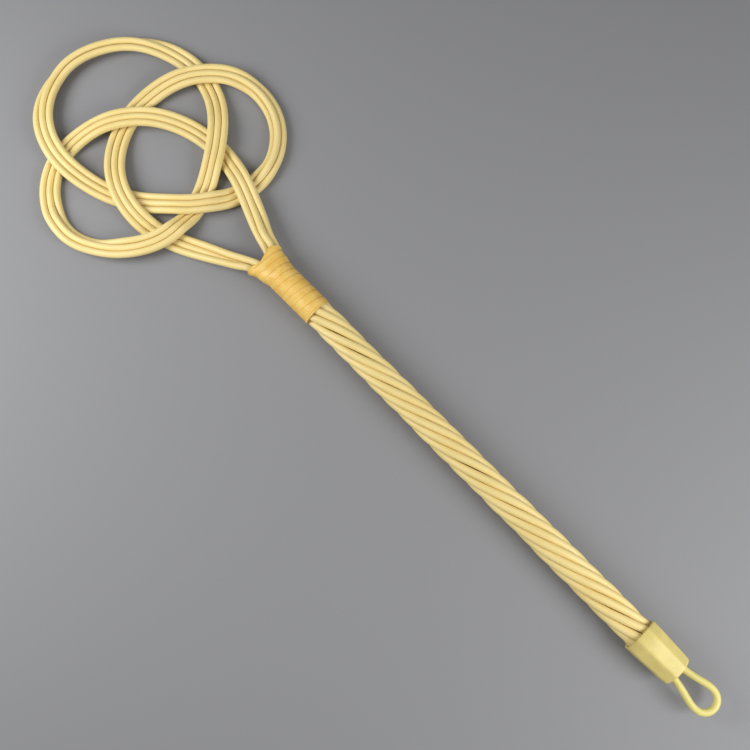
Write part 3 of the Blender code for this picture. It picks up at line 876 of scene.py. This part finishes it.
def sweep_rod(line, stations, radii, sides):
    """A round rod grown along a line. Its vertices keep their ring and their place on the straight rod."""
    body = bmesh.new()
    straight = body.verts.layers.float_vector.new("straight")
    ring_of = body.verts.layers.int.new("ring")
    frames = turning_frames(line)
    made = bmesh.ops.create_circle(body, cap_ends=False, segments=sides, radius=radii[0])["verts"]
    for vert in made:
        vert[straight] = vert.co.copy()
    bmesh.ops.transform(body, matrix=frames[0], verts=made)
    rim = body.edges[:]
    for index in range(1, len(frames)):
        verts, rim = extruded(body, rim)
        wider = Matrix.Scale(radii[index] / radii[index - 1], 4)
        bmesh.ops.transform(body, matrix=frames[index] @ wider @ frames[index - 1].inverted(), verts=verts)
        for vert in verts:
            place = vert[straight]
            vert[straight] = (place[0], place[1], stations[index])
            vert[ring_of] = index
    bmesh.ops.holes_fill(body, edges=body.edges, sides=sides)
    bmesh.ops.recalc_face_normals(body, faces=body.faces)
    return body


def rod_radii(name, line):
    """Radius at each point of a rod: the strands in the handle are thicker than the rods of the head."""
    if name == "hanging_loop":
        return [loop_radius] * len(line)
    swell_length = (binding_end - ring_start) / 2
    radii = []
    for x in line[:, 0] + row_shift[0]:
        blend = smooth_step((x - ring_start) / swell_length)
        strand_radius = strand_ring_radius(x) * strand_size_share
        radii.append(rod_radius + (strand_radius - rod_radius) * blend)
    return radii


def wander(along, rod, seed):
    """Three smooth random values. They come from plain noise, which is the same in every run."""
    places = [(along, rod * noise_per_rod, seed + axis * noise_per_axis) for axis in range(3)]
    return np.array([noise.noise(place) for place in places])


def strayed(line, stations, number, sizes):
    """A line that strays a little from its course, as bent rods do, and most between binding and cap."""
    moved = []
    for point, station in zip(line, stations):
        x = point[0] + row_shift[0]
        past_neck = smooth_step((x - ring_start) / (binding_end - ring_start))
        before_cap = smooth_step((strand_end - x) / cap_length)
        reach = sizes.rod_wander + (sizes.strand_wander - sizes.rod_wander) * past_neck * before_cap
        moved.append(point + reach * wander(station / sizes.wander_length, number, sizes.wander_seed))
    return np.array(moved)


def rod_samples(lines, stations, radii, step):
    """Rows of (x, y, z, distance from the rod's start, rod's number, radius), a step apart."""
    rows = []
    for number, (name, line) in enumerate(lines.items()):
        count = int(stations[name][-1] / step)
        places = np.linspace(0.0, stations[name][-1], count)
        columns = [np.interp(places, stations[name], line[:, axis]) for axis in range(3)]
        columns += [places, np.full(count, number), np.interp(places, stations[name], radii[name])]
        rows.append(np.column_stack(columns))
    return np.concatenate(rows)


def shade_grooves(bodies, lines, stations, radii, sizes):
    """Mark on each vertex how close the next rod is, for painted shade and dirt in the grooves, and whether
    the gap between two strands gapes, for painted shade in open clefts.
    """
    reach = sizes.groove_reach
    search_reach = 2 * head_rod_diameter + reach
    own_stretch = 4 * head_rod_diameter
    rows = rod_samples(lines, stations, radii, reach / 2)
    tree = kdtree.KDTree(len(rows))
    for index, row in enumerate(rows):
        tree.insert(row[:3], index)
    tree.balance()
    for number, (name, line) in enumerate(lines.items()):
        body = bodies[name]
        groove_shade_and_dirt = body.verts.layers.float.new("groove_shade_and_dirt")
        cleft_shade = body.verts.layers.float.new("cleft_shade")
        ring_of = body.verts.layers.int["ring"]
        rings = {}
        for vert in body.verts:
            rings.setdefault(vert[ring_of], []).append(vert)
        for ring, verts in rings.items():
            centre = line[ring]
            near = rows[[item[1] for item in tree.find_range(centre, search_reach)]]
            itself = (near[:, 4] == number) & (np.abs(near[:, 3] - stations[name][ring]) < own_stretch)
            near = near[~itself]
            if not len(near):
                continue
            spots, owner, thickness = near[:, :3], near[:, 4], near[:, 5]
            apart = np.linalg.norm(spots - centre, axis=1) - thickness - radii[name][ring]
            in_handle = centre[0] + row_shift[0] > binding_end
            places = np.array([vert.co for vert in verts])
            distance = np.linalg.norm(places[:, None, :] - spots[None, :, :], axis=2) - thickness[None, :]
            for vert, gaps in zip(verts, distance):
                closest = int(np.argmin(gaps))
                # Painted shade and dirt: the nearer the next rod, the more
                level = smooth_step(1.0 - gaps[closest] / reach)
                vert[groove_shade_and_dirt] = level
                # Painted shade in open gaps between the strands of the handle
                if in_handle and level > 0.0:
                    width = apart[owner == owner[closest]].min()
                    vert[cleft_shade] = level * smooth_step(width / sizes.cleft_width)


# Operators

def cad_nodes_of(name):
    """The CAD nodes that a dressed rod stands in for: a head rod is drawn there in stretches."""
    if not name.startswith("head_rod_"):
        return [name]
    which = name.removeprefix("head_rod_")
    strands = ["handle_strand_right_" + which, "handle_strand_left_" + which]
    return strands + [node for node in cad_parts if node.startswith(name)]


class BEATER_OT_rods(bpy.types.Operator):
    """Build the three head rods, the two short strands and the hanging loop along their centre lines"""

    bl_idname = "beater.rods"
    bl_label = "Woven Rods"

    def execute(self, context):
        sizes = context.scene.beater_sizes
        colours = context.scene.beater_colours
        cream = rod_plastic("cream_rod_plastic", colours.rod_light, colours.rod_warm, colours.rod_groove,
                            colours.rod_cleft)
        pale = rod_plastic("pale_loop_plastic", colours.loop_light, colours.loop_warm, colours.rod_groove,
                           colours.rod_cleft)
        lines, stations, radii, bodies = {}, {}, {}, {}
        for number, (name, line) in enumerate(centre_lines.items()):
            course, stations[name] = fine_line(line, sizes.rod_step)
            lines[name] = strayed(course, stations[name], number, sizes)
            radii[name] = rod_radii(name, lines[name])
            bodies[name] = sweep_rod(lines[name], stations[name], radii[name], sizes.rod_sides)
        shade_grooves(bodies, lines, stations, radii, sizes)
        for name, body in bodies.items():
            of_loop = name == "hanging_loop"
            rod = new_mesh_object("woven_" + name, body, pale if of_loop else cream)
            for node in cad_nodes_of(name):
                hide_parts(node)
            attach(rod, "root")
        return {"FINISHED"}


def squared_off(value, square):
    """A cosine or sine that draws a circle where square is 2, and a squarer outline where it is more."""
    return math.copysign(abs(value) ** (2 / square), value)


def tape_outline_point(x, angle, outward):
    """A point of the tape's outline round the neck at x, moved outward from the rods."""
    half_width, half_height, middle, square = eased_table(tape_outline_shares, x / neck_length)
    radius = handle_diameter_at_neck / 2
    side = (half_width * radius + outward) * squared_off(math.cos(angle), square) + middle * radius
    up = (half_height * radius + outward) * squared_off(math.sin(angle), square)
    return Vector((x, side, axis_height + up))


def tape_start_at(angle):
    """Where the tape begins: further in on the outer sides of the legs than between them."""
    side = squared_off(math.cos(angle), tape_outline_shares[0][-1])
    return neck_length * eased_table(tape_edge_shares, side)[0]


class BEATER_OT_tape(bpy.types.Operator):
    """Wind the tape round the neck as one strip whose turns lap"""

    bl_idname = "beater.tape"
    bl_label = "Binding Tape"

    def execute(self, context):
        sizes = context.scene.beater_sizes
        colours = context.scene.beater_colours
        vinyl = tape_vinyl("orange_vinyl_tape", colours.tape_light, colours.tape_orange, colours.tape_deep)
        width = sizes.tape_turn + sizes.tape_lap
        turns = (binding_length - tape_start) / sizes.tape_turn + 1
        body = bmesh.new()
        strip = body.verts.layers.float_vector.new("strip")
        lap = body.verts.layers.float.new("lap")
        shift = Vector(row_shift)

        def set_vert(vert, step, column):
            share = column / tape_columns
            turn = step / tape_steps_per_turn
            angle = -math.pi / 2 - 2 * math.pi * turn
            slack = sizes.tape_slack * noise.noise((turn * slack_noise_per_turn, *slack_noise_row))
            x = tape_start - sizes.tape_turn + sizes.tape_turn * turn + width * share + slack
            inside = min(max(x, tape_start_at(angle)), binding_length)
            fold = noise.noise((turn * fold_noise_per_turn, share * fold_noise_across, fold_noise_row))
            outward = tape_edge_stand - tape_covered_drop * share + sizes.tape_fold * fold
            vert.co = tape_outline_point(inside, angle, outward) - shift
            vert[strip] = (turn * tape_pattern_turn, width * share, 0.0)
            vert[lap] = smooth_step(1 - share * width / sizes.tape_edge)

        row = [body.verts.new() for column in range(tape_columns + 1)]
        for column, vert in enumerate(row):
            set_vert(vert, 0, column)
        edges = [body.edges.new(pair) for pair in zip(row, row[1:])]
        for step in range(1, int(turns * tape_steps_per_turn) + 1):
            verts, edges = extruded(body, edges)
            verts.sort(key=lambda vert: vert[strip][1])
            for column, vert in enumerate(verts):
                set_vert(vert, step, column)
        bmesh.ops.recalc_face_normals(body, faces=body.faces)
        tape = new_mesh_object("wound_tape", body, vinyl)
        wall = tape.modifiers.new("tape_thickness", "SOLIDIFY")
        wall.thickness = sizes.tape_wall
        wall.offset = -1.0
        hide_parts("binding_tape")
        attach(tape, "root")
        return {"FINISHED"}


def cap_section_point(half_flats, roundness, angle):
    """A point of the cap's outline: eight flats at roundness 0, a circle at roundness 1."""
    sector = 2 * math.pi / cap_sides
    off = (angle + sector / 2) % sector - sector / 2
    blunt = half_flats * cap_corner_share
    flat = half_flats / math.cos(off)
    eight = (flat ** -cap_corner_power + blunt ** -cap_corner_power) ** (-1 / cap_corner_power)
    radius = eight + (half_flats - eight) * roundness
    return radius * math.cos(angle), radius * math.sin(angle)


def cap_sections(sizes):
    """Rows of (place from the mouth, half the flats, roundness, how far inside), from bore to end face."""
    bore = handle_diameter_at_cap / 2 + rod_pitch * cap_bore_gap_share
    mouth = cap_mouth_flats / 2
    end = cap_end_flats / 2
    lip = (mouth - bore) / 2
    rows = [(strand_depth_in_cap / 2, bore, 1.0, 1.0)]
    for along, out, roundness, depth in cap_mouth_shares:
        rows.append((lip * along, bore + lip * out, roundness, depth))
    side_end = cap_length - sizes.cap_end_round
    for step in range(1, cap_side_rings + 1):
        x = cap_land_length + (side_end - cap_land_length) * step / cap_side_rings
        blend = (x - cap_land_length) / (cap_length - cap_land_length)
        rows.append((x, mouth + (end - mouth) * blend, 0.0, 0.0))
    edge = rows[-1][1]
    for step in range(1, cap_edge_rings + 1):
        share = step / cap_edge_rings
        turn = math.pi / 2 * share
        x = side_end + sizes.cap_end_round * math.sin(turn)
        half_flats = edge - sizes.cap_end_round * (1 - math.cos(turn))
        rows.append((x, half_flats, cap_end_roundness * share, 0.0))
    face = rows[-1][1]
    for share in cap_face_shares:
        roundness = cap_end_roundness + (1 - cap_end_roundness) * (1 - share)
        rows.append((cap_length + sizes.cap_end_dome * (1 - share), face * share, roundness, 0.0))
    return rows


class BEATER_OT_cap(bpy.types.Operator):
    """Mould the eight-sided end cap with its rounded end and uneven mouth"""

    bl_idname = "beater.cap"
    bl_label = "End Cap"

    def execute(self, context):
        sizes = context.scene.beater_sizes
        colours = context.scene.beater_colours
        # The rods' groove colour paints the shade inside the cap's mouth
        plastic = cap_plastic("pale_cap_plastic", colours.cap_light, colours.cap_shaded, colours.rod_groove)
        rows = cap_sections(sizes)
        body = bmesh.new()
        inside = body.verts.layers.float.new("inside")
        turned = body.verts.layers.float.new("turned")
        origin = Vector((cap_mouth, 0.0, axis_height)) - Vector(row_shift)

        def set_vert(vert, row):
            x, half_flats, roundness, depth = row
            angle = vert[turned]
            across, up = cap_section_point(half_flats, roundness, angle)
            round_mouth = Vector((math.cos(angle), math.sin(angle), 0.0)) * lip_noise_round
            wave = noise.noise((round_mouth.x, round_mouth.y, lip_noise_row))
            reach = sizes.cap_lip_reach * max(up / half_flats, 0.0) ** 2
            lip = (wave * sizes.cap_lip_wave - reach) * smooth_step(1 - x / cap_land_length)
            dent = noise.noise((across * dent_noise_across, up * dent_noise_across, x * dent_noise_along))
            wider = 1 + sizes.cap_dent_share * dent
            vert.co = origin + Vector((x + lip, across * wider, up * wider))
            vert[inside] = depth

        sides = cap_faces_per_side * cap_sides
        made = bmesh.ops.create_circle(body, cap_ends=False, segments=sides, radius=rows[0][1])["verts"]
        for vert in made:
            vert[turned] = math.atan2(vert.co.y, vert.co.x)
            set_vert(vert, rows[0])
        rim = body.edges[:]
        for row in rows[1:]:
            verts, rim = extruded(body, rim)
            for vert in verts:
                set_vert(vert, row)
        bmesh.ops.contextual_create(body, geom=rim)
        bmesh.ops.recalc_face_normals(body, faces=body.faces)
        cap = new_mesh_object("moulded_end_cap", body, plastic)
        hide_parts("end_cap")
        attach(cap, "root")
        return {"FINISHED"}


class BEATER_OT_core(bpy.types.Operator):
    """Finish the core inside the handle"""

    bl_idname = "beater.core"
    bl_label = "Handle Core"

    def execute(self, context):
        colours = context.scene.beater_colours
        wood = core_wood("brown_core_wood", colours.wood_light, colours.wood_dark)
        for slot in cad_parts["handle_core_rod"].material_slots:
            slot.material = wood
        return {"FINISHED"}


class BEATER_OT_studio(bpy.types.Operator):
    """Lay the pale floor and set up the lamps, the sky and the camera"""

    bl_idname = "beater.studio"
    bl_label = "Studio"

    def add_lamp(self, name, power, place, width):
        """Hang a round soft lamp that points at the beater's middle."""
        lamp = bpy.data.lights.new(name, "AREA")
        lamp.energy = power
        lamp.shape = "DISK"
        lamp.size = width
        item = bpy.data.objects.new(name, lamp)
        item.location = place
        item.rotation_euler = (-Vector(place)).to_track_quat("-Z", "Y").to_euler()
        bpy.context.scene.collection.objects.link(item)

    def execute(self, context):
        scene = context.scene
        studio = scene.beater_studio
        colours = scene.beater_colours
        body = bmesh.new()
        bmesh.ops.create_grid(body, x_segments=2, y_segments=2, size=floor_half_width)
        bmesh.ops.translate(body, verts=body.verts, vec=(0.0, 0.0, -floor_drop))
        floor = new_mesh_object("studio_floor", body, floor_paper("pale_grey_paper", colours.floor))
        self.add_lamp("key_lamp", studio.key_power, studio.key_place, studio.lamp_width)
        self.add_lamp("fill_lamp", studio.fill_power, studio.fill_place, studio.lamp_width)
        world = bpy.data.worlds.new("soft_sky")
        world.use_nodes = True
        sky = world.node_tree.nodes["Background"]
        sky.inputs["Color"].default_value = colour(colours.sky)
        sky.inputs["Strength"].default_value = studio.sky_strength
        scene.world = world
        scene.view_settings.view_transform = "Standard"

        lens = bpy.data.cameras.new("photo_camera")
        lens.sensor_width = sensor_width
        lens.lens = studio.focal_length
        camera = bpy.data.objects.new("photo_camera", lens)
        scene.collection.objects.link(camera)
        back = Vector(studio.camera_back).normalized()
        right = Vector(studio.camera_right).normalized()
        up = back.cross(right)
        matrix = Matrix((right, up, back)).transposed().to_4x4()
        matrix.translation = Vector(studio.camera_place)
        camera.matrix_world = matrix
        scene.camera = camera
        return {"FINISHED"}


class BEATER_PT_panel(bpy.types.Panel):
    """Lists the beater's operators and settings"""

    bl_label = "Carpet Beater"
    bl_idname = "BEATER_PT_panel"
    bl_space_type = "VIEW_3D"
    bl_region_type = "UI"
    bl_category = "Beater"

    def draw(self, context):
        layout = self.layout
        for operator in piece_operators:
            layout.operator(operator.bl_idname)
        scene = context.scene
        for group in (scene.beater_sizes, scene.beater_colours, scene.beater_studio):
            box = layout.box()
            for name in group.bl_rna.properties.keys():
                if name not in ("rna_type", "name"):
                    box.prop(group, name)


piece_operators = (BEATER_OT_rods, BEATER_OT_tape, BEATER_OT_cap, BEATER_OT_core, BEATER_OT_studio)
classes = (BEATER_PG_sizes, BEATER_PG_colours, BEATER_PG_studio) + piece_operators + (BEATER_PT_panel,)


def register():
    for item in classes:
        bpy.utils.register_class(item)
    bpy.types.Scene.beater_sizes = bpy.props.PointerProperty(type=BEATER_PG_sizes)
    bpy.types.Scene.beater_colours = bpy.props.PointerProperty(type=BEATER_PG_colours)
    bpy.types.Scene.beater_studio = bpy.props.PointerProperty(type=BEATER_PG_studio)


def unregister():
    del bpy.types.Scene.beater_studio
    del bpy.types.Scene.beater_colours
    del bpy.types.Scene.beater_sizes
    for item in reversed(classes):
        bpy.utils.unregister_class(item)


def main():
    register()
    bpy.ops.beater.rods()
    bpy.ops.beater.tape()
    bpy.ops.beater.cap()
    bpy.ops.beater.core()
    bpy.ops.beater.studio()


if __name__ == "__main__":
    main()
